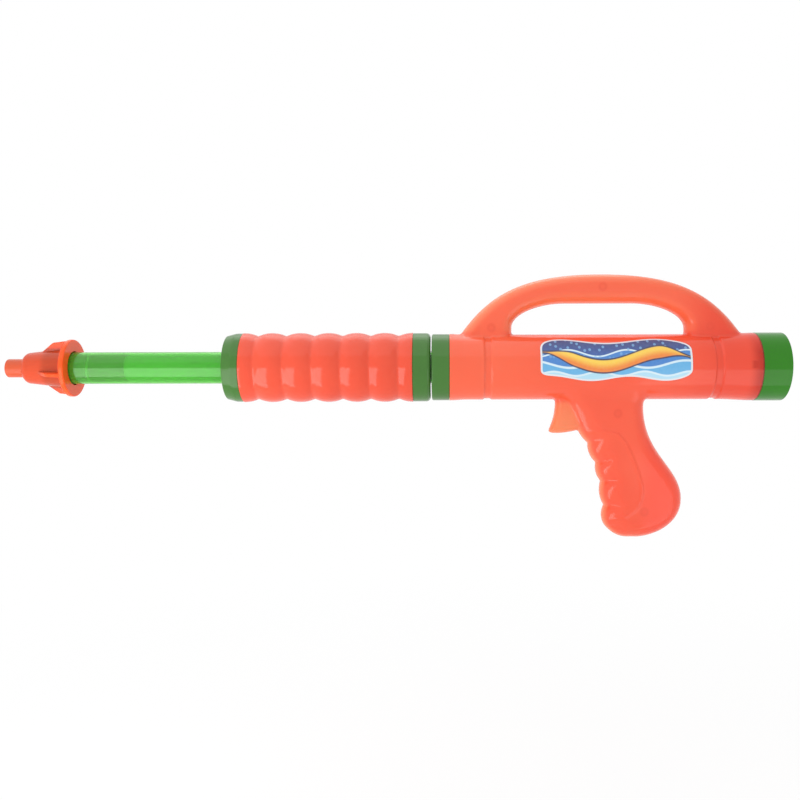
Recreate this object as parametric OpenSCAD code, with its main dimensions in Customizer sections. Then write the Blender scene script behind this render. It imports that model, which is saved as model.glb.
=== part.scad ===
// Pump-action water squirter. X runs along the barrel with the nozzle towards -X, Z is up and the
// grip hangs down. The origin is the centre of the rear cap's flat face.

/* [Body] */
// Length of the two body shells
body_len = 227; // [188:1:275]
// Outer diameter of the body tube
body_d = 48.8; // [44:0.2:60]
// Wall of the moulded shells
shell_wall = 1.9; // [1.5:0.1:2.4]
// Growth of the radius at the rear rim of the shells
rear_flare = 1; // [0.2:0.1:1.2]
// Growth of the radius at the front rim of the shells
front_flare = 0.6; // [0.1:0.1:1]
// Length of the flared stretch at each rim
flare_len = 12; // [6:0.5:14]
// Depth of the two ring grooves
groove_depth = 0.9; // [0.7:0.05:1.2]
// Width of a ring groove
groove_w = 6.4; // [5:0.1:8]
// Front rim of the shells to the middle of the front groove
front_groove_at = 28.2; // [22:0.2:36]
// Rear rim of the shells to the middle of the rear groove
rear_groove_at = 31.2; // [28:0.2:40]

/* [Body ends] */
// Visible length of the rear cap
cap_len = 20.8; // [14:0.2:26]
// Step from the body tube out to the rear cap
cap_step = 1.1; // [0.2:0.1:1.4]
// Length of the rear cap's skirt inside the shells
skirt_len = 8.2; // [6:0.2:11]
// Length of the key tongues on the skirt
key_len = 2.2; // [1.5:0.1:3]
// Width of a key tongue
key_w = 5.4; // [4:0.1:8]
// Visible length of the front collar
collar_len = 13.1; // [9:0.1:17]
// Step from the shells' front rim in to the collar
collar_step = 0.2; // [0.1:0.05:0.6]
// Wall of the caps and collars
cap_wall = 2; // [1.6:0.1:2.6]
// Radius of the rounded rims of the caps
rim_round = 1.1; // [0.5:0.1:1.6]

/* [Handle] */
// Front rim of the shells to the front foot of the handle
front_foot_at = 8.3; // [5:0.1:16]
// Rear rim of the shells to the rear foot of the handle
rear_foot_at = 9.2; // [6:0.1:18]
// Length of each foot along the tube
foot_len = 40; // [34:0.5:50]
// Lean of the feet above the tube
foot_lean = 55; // [48:1:65]
// Height of the handle above the tube
handle_rise = 44.9; // [37:0.1:54]
// Height of the handle's bar
bar_h = 21.7; // [19:0.1:26]
// Middle of the hand opening in front of the middle of the handle
opening_shift = 1.8; // [0:0.1:3]
// Thickness of the handle
handle_t = 21; // [18:0.5:26]
// How far the handle's faces round off
handle_round = 6.5; // [5:0.1:6.8]

/* [Grip] */
// Rear rim of the shells to the back of the grip at its neck
grip_at = 82.2; // [70:0.2:100]
// Depth of the grip below the tube
grip_depth = 102.9; // [85:0.1:124]
// Thickness of the grip
grip_t = 28; // [24:0.5:34]
// How far the grip's faces round off
grip_round = 7; // [5.5:0.1:7.4]
// Height of one finger bump on the front of the grip
finger_sag = 1.9; // [1.2:0.1:2.4]
// Thickness of the moulded trigger
trigger_t = 13; // [9:0.5:17]
// How far the trigger's faces round off
trigger_round = 1.6; // [0.8:0.1:1.8]
// Reach of the trigger in front of the grip's back
trigger_reach = 71.2; // [68:0.2:76]

/* [Case screws] */
// Diameter of a screw's shank
screw_d = 2.8; // [2.2:0.1:3.4]
// Length of a screw's shank
screw_len = 12; // [10:0.5:13]
// Diameter of a screw's head
screw_head_d = 5.2; // [4.4:0.1:5.6]
// Height of a screw's head
screw_head_h = 1.9; // [1.5:0.1:2.4]
// Parting plane to the underside of the screw heads
screw_seat = 5; // [4:0.1:5.6]
// Wall around a screw well and around a pilot hole
boss_wall = 1.55; // [1.2:0.05:1.7]

/* [Label] */
// Length of the printed label
label_len = 110; // [90:1:120]
// Height of the printed label
label_h = 31; // [24:0.5:36]
// Thickness of the printed label
label_t = 0.12; // [0.08:0.01:0.2]
// Radius of the label's corners
label_corner = 7; // [3:0.5:11]
// Rear rim of the shells to the middle of the label
label_at = 106.4; // [100:0.2:110]
// Height of the middle of the label above the barrel axis
label_up = 4.4; // [0:0.1:5]

/* [Pump tube] */
// Outer diameter of the pump tube
tube_d = 23.8; // [19.8:0.2:28.6]
// Wall of the pump tube
tube_wall = 1.3; // [1:0.1:1.6]
// Bare tube between the fore-grip and the nozzle
neck_len = 115.3; // [95:0.1:140]
// Thickness of the stop disc at the rear end of the tube
disc_t = 6; // [4:0.5:8]
// Length of the stop disc's hub in front of the disc
disc_hub_len = 6; // [3:0.5:9]
// Stop disc to the rear ridge when the pump is pushed home
disc_gap = 4.7; // [3:0.1:7]

/* [Fore-grip] */
// Length of one rounded rib
rib_pitch = 21; // [17:0.1:25]
// Number of valleys between the ribs
rib_count = 6; // [4:1:8]
// Diameter over the ribs
rib_d = 51.8; // [42.6:0.2:62]
// Wall of the sleeve in the valleys
sleeve_wall = 1.8; // [1.4:0.1:2.4]
// Step from the top of the ribs in to the caps
fore_cap_step = 0.3; // [0.1:0.05:0.8]
// Visible length of the fore-grip's front cap
fore_front_len = 12.4; // [9:0.2:14]
// Visible length of the fore-grip's rear cap
fore_rear_len = 13.2; // [12:0.2:18]
// Length of a fore-grip cap's skirt inside the sleeve
fore_skirt_len = 8; // [5:0.2:11]
// How far the front cap's rim rounds in
fore_front_rim = 1.8; // [0.5:0.1:4]
// How far the front cap's rim rounds along the barrel
fore_front_rim_len = 7; // [2:0.1:8]
// How far the rear cap's rim rounds in
fore_rear_rim = 3; // [0.5:0.1:4]
// How far the rear cap's rim rounds along the barrel
fore_rear_rim_len = 3.6; // [2:0.1:8]
// Fore-grip to the front collar when the pump is pushed home
rest_gap = 0.9; // [0.5:0.1:2]

/* [Nozzle] */
// Length of the nozzle
nozzle_len = 49.8; // [45:0.1:60]
// Length of the tip
tip_len = 13; // [8:0.1:14]
// Diameter of the tip
tip_d = 13.8; // [12:0.1:16]
// Diameter of the jet hole
jet_d = 3.2; // [2:0.1:4.5]
// Length of the rounded shoulder behind the tip
shoulder_len = 5; // [4:0.1:7]
// Depth of the tube in the nozzle's socket
socket_len = 16.5; // [12:0.5:17.5]
// Wall of the barrel around the tube at the flange
barrel_wall = 3.1; // [2.6:0.1:4]
// Step from the tube in to the barrel's front end
barrel_step = 0.2; // [0.1:0.1:1]
// Reach of the flange around the barrel
flange_reach = 6.4; // [4:0.1:9]
// Thickness of the flange
flange_t = 3.7; // [2.4:0.1:4]
// Gap around the tube in the socket's mouth
mouth_gap = 0.6; // [0.4:0.1:1.6]
// Depth of the socket's mouth
mouth_len = 2.4; // [1.5:0.1:4]
// Thickness of a fin
fin_t = 2.4; // [1.8:0.1:3.2]
// Straight outer edge of a fin in front of the flange
fin_edge = 10; // [5:0.5:13]
// Length of a fin's slope along the barrel
fin_slope = 8.6; // [6:0.1:11]
// Step from the flange's edge in to the fins
fin_step = 0.5; // [0.2:0.1:2]
// Fall of a fin's outer edge towards the tip
fin_taper = 1.3; // [0:0.1:2]
// Turn of the fins about the barrel, from straight up
fin_turn = 18; // [0:1:90]

/* [Piston] */
// Play between the piston rod and the tube
rod_play = 1.2; // [0.8:0.1:2.4]
// Wall of the piston rod
rod_wall = 1.8; // [1.4:0.1:2.4]
// Front end of the tube to the piston when the pump is pushed home
piston_gap = 2.2; // [1:0.1:8]
// Length of the piston head outside the rod
head_len = 54.6; // [46:0.2:66]
// Front face of the piston to the middle of the rubber ring
seal_at = 27; // [6:0.5:36]
// Length of the piston head's spigot inside the rod
spigot_len = 12; // [8:0.5:18]
// Thickness of the rubber ring
seal_d = 2.4; // [2:0.1:2.8]

/* [Clearances] */
// Gap of a part that is glued or pressed on
seat_gap = 0.05; // [0.03:0.01:0.08]
// Gap of a plug in its bore
plug_gap = 0.2; // [0.1:0.05:0.3]
// Gap that keeps moving parts clear
run_gap = 0.3; // [0.2:0.05:0.4]

/* [Hidden] */
$fn = 96;

orange = [0.98, 0.40, 0.31];
green = [0.28, 0.52, 0.22];
lime = [0.38, 0.75, 0.27, 0.8];
white = [0.93, 0.93, 0.90];
grey = [0.72, 0.73, 0.71];
steel = [0.72, 0.73, 0.75];
rubber = [0.84, 0.82, 0.74];

// An overlap that fuses two solids of one piece
bite = 0.01;
// A length that runs a cut past the piece
past = 20;

body_r = body_d / 2;
bore_r = body_r - shell_wall;
plug_r = bore_r - plug_gap;
tube_r = tube_d / 2;
tube_bore_r = tube_r - tube_wall;
rod_r = tube_bore_r - rod_play;
rod_bore_r = rod_r - rod_wall;

// Stations along the barrel, from the rear face forward
shell_rear = -cap_len;
shell_front = shell_rear - body_len;
collar_front = shell_front - collar_len;
fore_rear = collar_front - rest_gap;
sleeve_rear = fore_rear - fore_rear_len;
sleeve_front = sleeve_rear - rib_pitch * rib_count;
fore_front = sleeve_front - fore_front_len;
flange_rear = fore_front - neck_len;
flange_front = flange_rear - flange_t;
nozzle_front = flange_rear - nozzle_len;
tube_front = flange_rear - socket_len;
front_groove = shell_front + front_groove_at;
rear_groove = shell_rear - rear_groove_at;
disc_rear = rear_groove - groove_w / 2 - disc_gap;
disc_front = disc_rear - disc_t;
piston_front = tube_front + piston_gap;
seal_x = piston_front + seal_at;
head_rear = piston_front + head_len;
skirt_front = shell_rear - skirt_len;
anchor_front = rear_groove + groove_w / 2 + run_gap;
anchor_rear = skirt_front - key_len - run_gap;
anchor_floor = anchor_rear - cap_wall;

// Places on the body
handle_x = (shell_front + front_foot_at + shell_rear - rear_foot_at) / 2;
handle_half_span = (body_len - front_foot_at - rear_foot_at) / 2;
opening_x = handle_x - opening_shift;
opening_half_w = handle_half_span - foot_len;
opening_h = handle_rise - bar_h;
grip_x = shell_rear - grip_at;
label_x = shell_rear - label_at;

function unit(v) = v / norm(v);
function reversed(list) = [for (i = [len(list) - 1 : -1 : 0]) list[i]];

// A half outline that starts at the right foot, moved to x and mirrored to the left foot
function arched(half, x) = concat([for (p = half) [x + p.x, p.y]],
    [for (p = reversed([for (i = [0 : len(half) - 2]) half[i]])) [x - p.x, p.y]]);

// A cubic curve through p[0] and p[3], without its last point
function curve(p, steps) = [for (i = [0 : steps - 1]) let (t = i / steps, s = 1 - t)
    s * s * s * p[0] + 3 * s * s * t * p[1] + 3 * s * t * t * p[2] + t * t * t * p[3]];

// A shallow arc from a to b that swells to the right of its way, without its last point
function swell(a, b, sag, steps) = [for (i = [0 : steps - 1]) let (t = i / steps, d = unit(b - a))
    a + (b - a) * t + [d.y, -d.x] * 4 * sag * t * (1 - t)];

// A counterclockwise loop moved inwards
function inset(loop, depth) = let (n = len(loop)) [for (i = [0 : n - 1])
    let (p = loop[i], e = unit(p - loop[(i + n - 1) % n]), f = unit(loop[(i + 1) % n] - p))
    let (m = unit([e.y + f.y, -e.x - f.x]))
    p - m * depth / max(0.6, m * [e.y, -e.x])];

// Rings of a face that rounds off, from the flat of the face to the parting plane
function face_rings(loop, half, round, wall, levels) = [for (k = [levels : -1 : 0])
    let (a = 90 * k / levels, ring = inset(loop, wall + round * (1 - cos(a))))
    [for (p = ring) [p.x, (half - wall) * sin(a), p.y]]];

// Half of a moulding on the +Y side, between two chains with as many points each that run the same way.
// It is hollow and open at the parting plane where wall is above 0, and solid where it is 0.
module moulded_half(first, second, half, round, wall, levels) {
    loop = concat(first, reversed(second));
    n = len(loop);
    outer = face_rings(loop, half, round, 0, levels);
    inner = reversed(face_rings(loop, half, round - wall / 2, wall, levels));
    rings = wall > 0 ? concat(outer, inner) : outer;
    last = (len(rings) - 1) * n;
    sides = [for (k = [0 : len(rings) - 2], i = [0 : n - 1]) let (j = (i + 1) % n)
        [k * n + i, (k + 1) * n + i, (k + 1) * n + j, k * n + j]];
    face = [for (i = [0 : n / 2 - 2]) [i, i + 1, n - 2 - i, n - 1 - i]];
    back = [for (q = face) [for (i = reversed(q)) i + last]];
    polyhedron([for (r = rings, p = r) p], concat(sides, face, back));
}

// A solid of revolution about the barrel, whose profile points are [radius, x]
module turned(points) {
    rotate([0, 90, 0])
        rotate_extrude()
            polygon(points);
}

module along_x(from, to, r) {
    translate([from, 0, 0])
        rotate([0, 90, 0])
            cylinder(r = r, h = to - from);
}

module along_y(place, from, to, r) {
    translate([place.x, from, place.y])
        rotate([-90, 0, 0])
            cylinder(r = r, h = to - from);
}

// Cuts what lies inside the middle of the shell's wall, so that it roots in the tube
module rooted_on_tube() {
    difference() {
        children();
        along_x(shell_front - past, shell_rear + past, body_r - shell_wall / 2);
    }
}

// Right half of the handle's outer arch, in [x, z] from the middle of the handle
function handle_arch() = let (top = body_r + handle_rise, lean = [cos(foot_lean), -sin(foot_lean)])
    let (foot = [handle_half_span, body_r], crown = handle_half_span - 47.9, shoulder = 38)
    concat([foot + lean * past], curve([foot, foot - lean * shoulder, [crown, top], [0, top]], 12),
        [[0, top]]);

// Right half of the hand opening, with as many points as the arch
function hand_opening() = let (w = opening_half_w, top = body_r + opening_h, low = body_r + 4.9, bend_w = 40)
    let (flat = w - bend_w)
    concat([[w, body_r - past]],
        curve([[w, low], [w, low + 0.55 * (top - low)], [flat + 0.51 * bend_w, top], [flat, top]], 9),
        [for (i = [0 : 3]) [flat * (1 - i / 3), top]]);

module handle_half() {
    rooted_on_tube()
        moulded_half(arched(handle_arch(), handle_x), arched(hand_opening(), opening_x),
            handle_t / 2, handle_round, shell_wall, 4);
}

// The grip is drawn at this depth
drawn_depth = 102.9;

// A point in [x, z] from the neck of the grip's back and the underside of the tube
function at_tube(p) = [grip_x + p[0], -body_r + p[1]];
function all_at_tube(list) = [for (p = list) at_tube(p)];

// The same for a point that moves with the depth of the grip
function on_grip(p) = at_tube([p[0], p[1] * grip_depth / drawn_depth]);
function all_on_grip(list) = [for (p = list) on_grip(p)];

// Valleys between the finger bumps, from the trigger down to the toe, and the bumps' relative heights
valleys = [[-48, -24.3], [-41.5, -32.5], [-35.6, -47.1], [-32, -61], [-29.7, -79], [-29.4, -93.6]];
bump_share = [0.25, 0.95, 0.85, 1, 1];

function grip_front() = concat(all_at_tube([[-60.5, 16], [-60.5, 2]]), [on_grip([-54, -11])],
    [for (i = [0 : len(bump_share) - 1])
        each swell(on_grip(valleys[i]), on_grip(valleys[i + 1]), finger_sag * bump_share[i], 4)],
    curve(all_on_grip([[-29.4, -93.6], [-26, -97.8], [-21, -102.9], [-12, -102.9]]), 6));

function grip_back() = concat(all_at_tube([[3, 16], [1, 2]]),
    curve(all_on_grip([[0, -5.2], [0, -41.4], [28, -50.1], [28, -74]]), 14),
    curve(all_on_grip([[28, -74], [28, -93.5], [7.5, -102.9], [-8, -102.9]]), 13));

module grip_half() {
    rooted_on_tube()
        moulded_half(grip_front(), grip_back(), grip_t / 2, grip_round, shell_wall, 4);
}

function trigger_front() = let (x = -trigger_reach) concat(
    all_at_tube([[x + 4.8, 9]]),
    curve(all_at_tube([[x + 4.8, 0], [x + 4.9, -11], [x + 2.2, -17], [x, -22.4]]), 6),
    curve(all_at_tube([[x, -22.4], [x - 0.8, -24.6], [x + 1.4, -25.2], [x + 6, -25.2]]), 4),
    curve(all_at_tube([[x + 6, -25.2], [x + 11, -25.2], [x + 17, -24], [x + 23, -22.6]]), 3));

// The trigger's back lies inside the grip
function trigger_back() = let (top = at_tube([-48, 9]), foot = at_tube([-43, -19]))
    let (n = len(trigger_front()) - 1)
    [for (i = [0 : n]) top + (foot - top) * i / n];

module trigger_half() {
    rooted_on_tube()
        moulded_half(trigger_front(), trigger_back(), trigger_t / 2, trigger_round, 0, 3);
}

// The five screw bosses, in [x, z], and the outside of the moulding there
handle_boss_z = body_r + (handle_rise + opening_h) / 2;
foot_boss_z = body_r + screw_head_d / 2 + boss_wall + 2 * run_gap;
foot_boss_x = handle_half_span - foot_len / 2;
boss_places = [[handle_x, handle_boss_z], [handle_x - foot_boss_x, foot_boss_z],
    [handle_x + foot_boss_x - 3, foot_boss_z], on_grip([-21.2, -10.4]), on_grip([-1.3, -83.4])];
boss_sides = [handle_t / 2, handle_t / 2, handle_t / 2, grip_t / 2, grip_t / 2];

// Profile of a ring groove in a wall of radius r
function groove(x, r) = let (low = r - groove_depth, half = groove_w / 2, flank = 1.2)
    [[r, x - half], [low, x - half + flank], [low, x + half - flank], [r, x + half]];

// Half of the body tube on the +Y side, with its ring grooves and flared rims
module tube_half() {
    outside = concat([[body_r + front_flare, shell_front], [body_r, shell_front + flare_len]],
        groove(front_groove, body_r), groove(rear_groove, body_r),
        [[body_r, shell_rear - flare_len], [body_r + rear_flare, shell_rear]]);
    inside = concat([[bore_r, shell_front]], groove(front_groove, bore_r), groove(rear_groove, bore_r),
        [[bore_r, shell_rear]]);
    rotate([0, 90, 0])
        rotate_extrude(angle = 180)
            polygon(concat(outside, reversed(inside)));
}

// A shell on the +Y side with solid bosses of radius r
module shell_half(r) {
    tube_half();
    handle_half();
    union() {
        grip_half();
        trigger_half();
    }
    for (i = [0 : len(boss_places) - 1])
        along_y(boss_places[i], bite, boss_sides[i] - shell_wall / 2, r);
}

// The far shell has wells for the screw heads
module body_shell_right() {
    well_r = screw_head_d / 2 + run_gap;
    color(orange)
        difference() {
            union() shell_half(well_r + boss_wall);
            for (p = boss_places) {
                along_y(p, screw_seat, grip_t, well_r);
                along_y(p, -bite, screw_seat + bite, screw_d / 2 + run_gap);
            }
        }
}

// The near shell has blind pilot holes
module body_shell_left() {
    color(orange)
        mirror([0, 1, 0])
            difference() {
                union() shell_half(screw_d / 2 + seat_gap + boss_wall);
                for (p = boss_places)
                    along_y(p, -bite, screw_len - screw_seat + run_gap, screw_d / 2 + seat_gap);
            }
}

module case_screws() {
    color(steel)
        for (p = boss_places) {
            along_y(p, screw_seat - screw_len, screw_seat + 2 * bite, screw_d / 2);
            along_y(p, screw_seat + bite, screw_seat + screw_head_h, screw_head_d / 2);
        }
}

// A rounded rim at radius r on the face at x, where way is the side that the solid lies on
function rim(r, x, way, deep, long) = [for (i = [0 : 6]) let (a = 15 * i)
    [r - deep * (1 - sin(a)), x + way * long * (1 - cos(a))]];

module front_collar() {
    outer_r = body_r + front_flare - collar_step;
    plug_rear = front_groove - groove_w / 2 - run_gap;
    bore = tube_r + run_gap;
    floor = collar_front + cap_wall;
    color(green)
        turned(concat([[bore, collar_front]], rim(outer_r, collar_front, 1, rim_round, rim_round),
            [[outer_r, shell_front], [plug_r, shell_front], [plug_r, plug_rear],
            [plug_r - cap_wall, plug_rear], [plug_r - cap_wall, floor], [bore + cap_wall, floor],
            [bore + cap_wall, plug_rear], [bore, plug_rear]]));
}

module rear_cap() {
    outer_r = body_r + cap_step;
    inner_r = plug_r - cap_wall;
    key_up = 1.7;
    color(green)
        union() {
            turned(concat([[0, 0], [0, -cap_wall], [outer_r - cap_wall, -cap_wall],
                [outer_r - cap_wall, shell_rear + cap_wall], [inner_r, shell_rear + cap_wall],
                [inner_r, skirt_front], [plug_r, skirt_front], [plug_r, shell_rear], [outer_r, shell_rear]],
                reversed(rim(outer_r, 0, -1, rim_round, rim_round))));
            intersection() {
                turned([[inner_r, skirt_front - key_len], [plug_r, skirt_front - key_len],
                    [plug_r, skirt_front + bite], [inner_r, skirt_front + bite]]);
                translate([skirt_front, 0, key_up])
                    cube([past, body_d, key_w], center = true);
            }
        }
}

module label_outline() {
    straight = [label_len - 2 * label_corner, label_h - 2 * label_corner];
    square([straight.x, label_h], center = true);
    square([label_len, straight.y], center = true);
    for (x = [-1, 1], z = [-1, 1])
        translate([x * straight.x / 2, z * straight.y / 2])
            circle(r = label_corner);
}

// A thin skin that follows the near side of the tube
module side_label() {
    low = body_r + seat_gap;
    color(white)
        intersection() {
            turned([[low, label_x - label_len], [low + label_t, label_x - label_len],
                [low + label_t, label_x + label_len], [low, label_x + label_len]]);
            translate([label_x, 0, label_up])
                rotate([90, 0, 0])
                    linear_extrude(body_d)
                        label_outline();
        }
}

// A cup between the rear ridge and the rear cap, which turns with the rod
module rod_anchor() {
    edge = bore_r - run_gap;
    hub = rod_r + seat_gap;
    web = anchor_front + cap_wall;
    color(white)
        turned([[hub, anchor_front], [edge, anchor_front], [edge, anchor_rear],
            [edge - cap_wall, anchor_rear], [edge - cap_wall, web], [hub + cap_wall, web],
            [hub + cap_wall, anchor_rear], [0, anchor_rear], [0, anchor_floor], [hub, anchor_floor]]);
}

module piston_rod() {
    rod_rear = anchor_floor - seat_gap;
    color(white)
        turned([[rod_bore_r, head_rear], [rod_r, head_rear], [rod_r, rod_rear], [rod_bore_r, rod_rear]]);
}

// A long hollow plug that fills the front of the tube, with its spigot in the rod
module piston_head() {
    land = tube_bore_r - run_gap;
    spigot = rod_bore_r - seat_gap;
    spigot_rear = head_rear + spigot_len;
    slot = seal_d / 2 + seat_gap;
    slot_r = tube_bore_r - 2 * seat_gap - seal_d;
    hollow = spigot - rod_wall;
    face = piston_front + rod_wall;
    bevel = 1;
    color(grey)
        turned([[0, piston_front], [land - bevel, piston_front], [land, piston_front + bevel],
            [land, seal_x - slot], [slot_r, seal_x - slot], [slot_r, seal_x + slot], [land, seal_x + slot],
            [land, head_rear - seat_gap], [spigot, head_rear - seat_gap], [spigot, spigot_rear],
            [hollow, spigot_rear], [hollow, face], [0, face]]);
}

module piston_seal() {
    color(rubber)
        translate([seal_x, 0, 0])
            rotate([0, 90, 0])
                rotate_extrude()
                    translate([tube_bore_r - seat_gap - seal_d / 2, 0])
                        circle(d = seal_d);
}

module pump_cylinder() {
    color(lime)
        turned([[tube_bore_r, tube_front], [tube_r, tube_front], [tube_r, disc_rear],
            [tube_bore_r, disc_rear]]);
}

module cylinder_stop_disc() {
    hub = tube_r + seat_gap;
    hub_front = disc_front - disc_hub_len;
    edge = bore_r - run_gap;
    bevel = 0.6;
    color(white)
        turned([[hub, hub_front], [hub + cap_wall, hub_front], [hub + cap_wall, disc_front],
            [edge - bevel, disc_front], [edge, disc_front + bevel], [edge, disc_rear - bevel],
            [edge - bevel, disc_rear], [hub, disc_rear]]);
}

sleeve_bore_r = sqrt(pow(rib_d / 2, 2) - pow(rib_pitch / 2, 2)) - sleeve_wall;

// A string of ball-shaped ribs around a straight bore
module foregrip_sleeve() {
    color(orange)
        rotate([0, 90, 0])
            rotate_extrude()
                intersection() {
                    translate([sleeve_bore_r, sleeve_front])
                        square([rib_d, sleeve_rear - sleeve_front]);
                    union() {
                        for (i = [0 : rib_count])
                            translate([0, sleeve_front + i * rib_pitch])
                                circle(d = rib_d);
                    }
                }
}

// A fore-grip cap with its face at one end, its rim against the sleeve and its skirt inside it
module fore_cap(face, seat, way, deep, long) {
    bore = tube_r + seat_gap;
    outer_r = rib_d / 2 - fore_cap_step;
    skirt_r = sleeve_bore_r - plug_gap;
    floor = face + way * cap_wall;
    tail = seat + way * fore_skirt_len;
    color(green)
        turned(concat([[bore, face]], rim(outer_r, face, way, deep, long),
            [[outer_r, seat], [skirt_r, seat], [skirt_r, tail], [skirt_r - cap_wall, tail],
            [skirt_r - cap_wall, floor], [bore + cap_wall, floor], [bore + cap_wall, tail], [bore, tail]]));
}

module foregrip_front_cap() {
    fore_cap(fore_front, sleeve_front, 1, fore_front_rim, fore_front_rim_len);
}

module foregrip_rear_cap() {
    fore_cap(fore_rear, sleeve_rear, -1, fore_rear_rim, fore_rear_rim_len);
}

// A fin on the barrel, in the plane of X and Z, whose front meets the barrel at radius front_r
module fin(start, front_r, rear_r, outer_r) {
    sunk = 0.5;
    translate([0, fin_t / 2, 0])
        rotate([90, 0, 0])
            linear_extrude(fin_t)
                polygon([[start, front_r], [start + fin_slope, outer_r - fin_taper],
                    [flange_front + bite, outer_r], [flange_front + bite, rear_r - sunk],
                    [start, front_r - sunk]]);
}

module nozzle() {
    tip_r = tip_d / 2;
    front_r = tube_r - barrel_step;
    rear_r = tube_r + barrel_wall;
    flange_r = rear_r + flange_reach;
    shoulder = nozzle_front + tip_len;
    cone_front = shoulder + shoulder_len;
    fin_start = flange_front - fin_edge - fin_slope;
    cone_share = (fin_start - cone_front) / (flange_front - cone_front);
    fin_r = front_r + (rear_r - front_r) * cone_share;
    shoulder_arc = [for (i = [0 : 6]) let (a = 15 * i)
        [tip_r + (front_r - tip_r) * sin(a), shoulder + shoulder_len * (1 - cos(a))]];
    socket = tube_r + seat_gap;
    mouth = tube_r + mouth_gap;
    floor = tube_front - seat_gap;
    throat = tube_bore_r - 1;
    throat_len = 4;
    jet_lead = 2;
    bevel = 0.6;
    color(orange)
        union() {
            turned(concat([[jet_d / 2, nozzle_front], [tip_r - bevel, nozzle_front],
                [tip_r, nozzle_front + bevel]], shoulder_arc, [[rear_r, flange_front],
                [flange_r, flange_front], [flange_r, flange_rear], [mouth, flange_rear],
                [mouth, flange_rear - mouth_len], [socket, flange_rear - mouth_len - bevel],
                [socket, floor], [throat, floor], [throat, floor - throat_len],
                [jet_d / 2, shoulder + jet_lead]]));
            for (turn = [0 : 90 : 270])
                rotate([fin_turn + turn, 0, 0])
                    fin(fin_start, fin_r, rear_r, flange_r - fin_step);
        }
}

body_shell_left();
body_shell_right();
case_screws();
front_collar();
rear_cap();
side_label();
rod_anchor();
piston_rod();
piston_head();
piston_seal();
pump_cylinder();
cylinder_stop_disc();
foregrip_sleeve();
foregrip_front_cap();
foregrip_rear_cap();
nozzle();
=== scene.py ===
import math
import bpy
import numpy as np
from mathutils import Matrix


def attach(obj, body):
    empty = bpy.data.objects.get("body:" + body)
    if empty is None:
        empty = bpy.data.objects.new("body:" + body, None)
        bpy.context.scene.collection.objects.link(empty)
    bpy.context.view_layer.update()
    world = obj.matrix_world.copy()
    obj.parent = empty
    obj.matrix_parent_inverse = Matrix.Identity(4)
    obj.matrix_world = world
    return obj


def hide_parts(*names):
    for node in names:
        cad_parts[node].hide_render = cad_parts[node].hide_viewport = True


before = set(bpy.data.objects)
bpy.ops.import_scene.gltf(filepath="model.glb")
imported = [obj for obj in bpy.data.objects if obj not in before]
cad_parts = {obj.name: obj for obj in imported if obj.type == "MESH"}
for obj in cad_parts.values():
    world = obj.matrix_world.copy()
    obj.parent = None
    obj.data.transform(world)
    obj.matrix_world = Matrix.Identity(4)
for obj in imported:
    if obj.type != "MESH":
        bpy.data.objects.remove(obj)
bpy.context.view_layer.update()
mm = 0.001  # shapes are worked out in millimetres, materials and the stage in metres
tiny = 1e-12  # keeps a length of zero out of a division
hair = 1e-6  # lengths under this count as zero, in millimetres
sharpAngle = 0.6
cloudDetail = 3.0
print("frame loaded:", len(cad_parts), "nodes")

# shape helpers


# a cubic curve from p0 to p3 with the pulls p1 and p2, without its last point
def bend(p0, p1, p2, p3, steps):
    t = np.linspace(0, 1, steps, endpoint=False)[:, None]
    s = 1 - t
    p0, p1, p2, p3 = (np.array(p, float) for p in (p0, p1, p2, p3))
    return s ** 3 * p0 + 3 * s ** 2 * t * p1 + 3 * s * t * t * p2 + t ** 3 * p3


# a shallow arc from a to b, a parabola of height sag to the right of its way, without its last point
def bulge(a, b, sag, steps):
    a, b = np.array(a, float), np.array(b, float)
    t = np.linspace(0, 1, steps, endpoint=False)[:, None]
    way = unit(b - a)
    return a + (b - a) * t + np.array([way[1], -way[0]]) * 4 * sag * t * (1 - t)


# an S-shaped step from 0 to 1: v * v * (3 - 2 v)
def easeStep(v):
    v = np.clip(v, 0, 1)
    return v * v * (3 - 2 * v)


# vectors brought to length 1
def unit(v):
    return v / (np.linalg.norm(v, axis=-1, keepdims=True) + tiny)


# a closed profile of (x, y, corner radius) whose corners become arcs that touch both sides, with its normals;
# an arc takes at most its share of the shorter side
def filleted(corners, steps=7, share=0.48):
    corners = np.array(corners, float)
    pts, radii = corners[:, :2], corners[:, 2]
    back = np.roll(pts, 1, axis=0) - pts
    ahead = np.roll(pts, -1, axis=0) - pts
    backLen, aheadLen = np.linalg.norm(back, axis=1), np.linalg.norm(ahead, axis=1)
    u, v = back / backLen[:, None], ahead / aheadLen[:, None]
    half = np.arccos(np.clip((u * v).sum(1), -1, 1)) / 2
    reach = np.minimum(radii / np.tan(half), share * np.minimum(backLen, aheadLen))
    radius = reach * np.tan(half)
    centre = pts + unit(u + v) * (radius / np.sin(half))[:, None]
    start = pts + u * reach[:, None] - centre
    end = pts + v * reach[:, None] - centre
    sweep = np.arctan2(start[:, 0] * end[:, 1] - start[:, 1] * end[:, 0], (start * end).sum(1))
    turn = sweep[:, None] * np.linspace(0, 1, steps)[None, :]
    x = start[:, :1] * np.cos(turn) - start[:, 1:] * np.sin(turn)
    y = start[:, :1] * np.sin(turn) + start[:, 1:] * np.cos(turn)
    arcs = np.stack([x, y], -1)
    convex = np.sign(u[:, 1] * v[:, 0] - u[:, 0] * v[:, 1])[:, None, None]
    normal = unit(arcs) * convex
    return (arcs + centre[:, None, :]).reshape(-1, 2), normal.reshape(-1, 2)


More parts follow.
